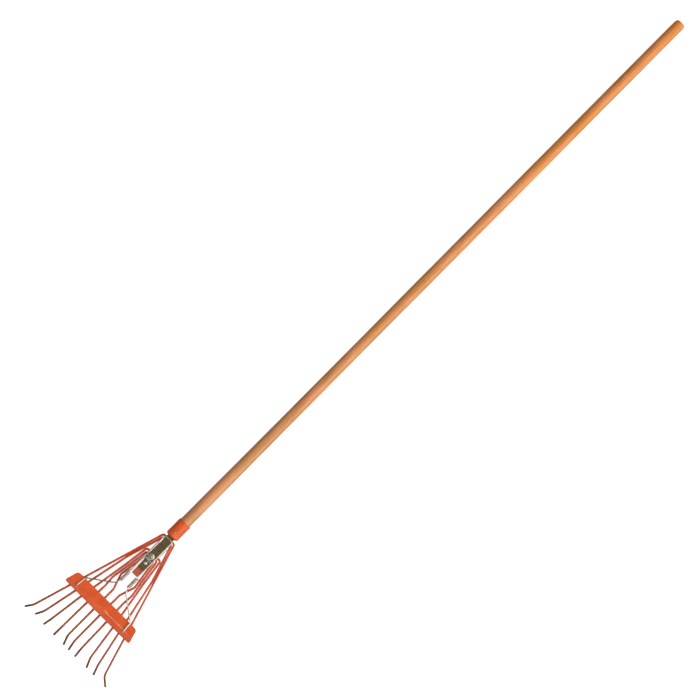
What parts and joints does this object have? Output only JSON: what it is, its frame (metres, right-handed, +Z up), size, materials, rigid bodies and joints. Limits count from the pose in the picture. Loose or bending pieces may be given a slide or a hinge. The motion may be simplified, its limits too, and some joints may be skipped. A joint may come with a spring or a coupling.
{
  "type": "leaf rake",
  "caption": "Leaf rake with a long round wooden handle, a fan of hooked wire tines held by a spreader bar, and a coiled wire spring brace.",
  "frame": {"origin": "middle of the footprint, on the ground the rake lies on", "axes": "+Y up the handle to the butt, -Y to the tine tips, +X across the head, +Z up, the side away from the hooks"},
  "size_m": [0.2184, 1.6464, 0.039],
  "materials": {
    "varnished_wood": "satin varnish over straight grain",
    "orange_paint": "semi-gloss enamel",
    "tine_paint": "semi-gloss enamel, worn bare at the tips",
    "plated_steel": "bright plating",
    "zinc_steel": "zinc plated"
  },
  "bodies": {
    "root": {"handle": "varnished_wood", "ferrule": "orange_paint", "ferrule_nail": "zinc_steel", "clamp_plate": "plated_steel", "clamp_bolt": "zinc_steel", "clamp_washer": "zinc_steel", "clamp_nut": "zinc_steel", "clamp_rivet": "zinc_steel", "spring_brace": "plated_steel"},
    "fan": {"tine_1": "tine_paint", "tine_2": "tine_paint", "tine_3": "tine_paint", "tine_4": "tine_paint", "tine_5": "tine_paint", "tine_6": "tine_paint", "tine_7": "tine_paint", "tine_8": "tine_paint", "tine_9": "tine_paint", "tine_10": "tine_paint", "spreader_bar": "orange_paint"}
  },
  "joints": [
    {"name": "fan_flex", "type": "hinge", "parent": "root", "child": "fan", "pos_m": [-0.00013, -0.56478, 0.02474], "axis": [-1, 0, 0], "range_deg": [-1.5, 4], "stiffness_Nm_per_rad": 270, "deforming": ["spring_brace"]}
  ]
}
